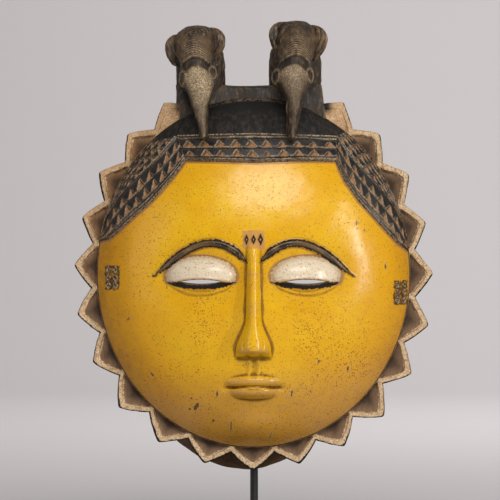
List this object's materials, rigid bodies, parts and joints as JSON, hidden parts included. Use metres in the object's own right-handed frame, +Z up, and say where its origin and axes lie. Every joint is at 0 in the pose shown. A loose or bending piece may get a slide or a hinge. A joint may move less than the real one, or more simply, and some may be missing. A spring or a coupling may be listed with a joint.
{
  "type": "carved face mask on a stand",
  "caption": "Round carved and painted wooden face mask, hollow behind, with a toothed collar and elephant heads on its crest, held up on a steel rod stand.",
  "frame": {"origin": "centre of the stand base's underside, on the surface it stands on", "axes": "+Z up, the face looks along -Y, +X to the right of someone who faces the mask"},
  "size_m": [0.323, 0.15, 0.4766],
  "materials": {
    "painted_wood": "carved wood under worn yellow, white and black paint",
    "black_rod_steel": "black painted round steel bar",
    "black_plate_steel": "black painted steel plate"
  },
  "bodies": {
    "root": {"mask": "painted_wood", "stand_rod": "black_rod_steel", "stand_base": "black_plate_steel"}
  },
  "joints": []
}
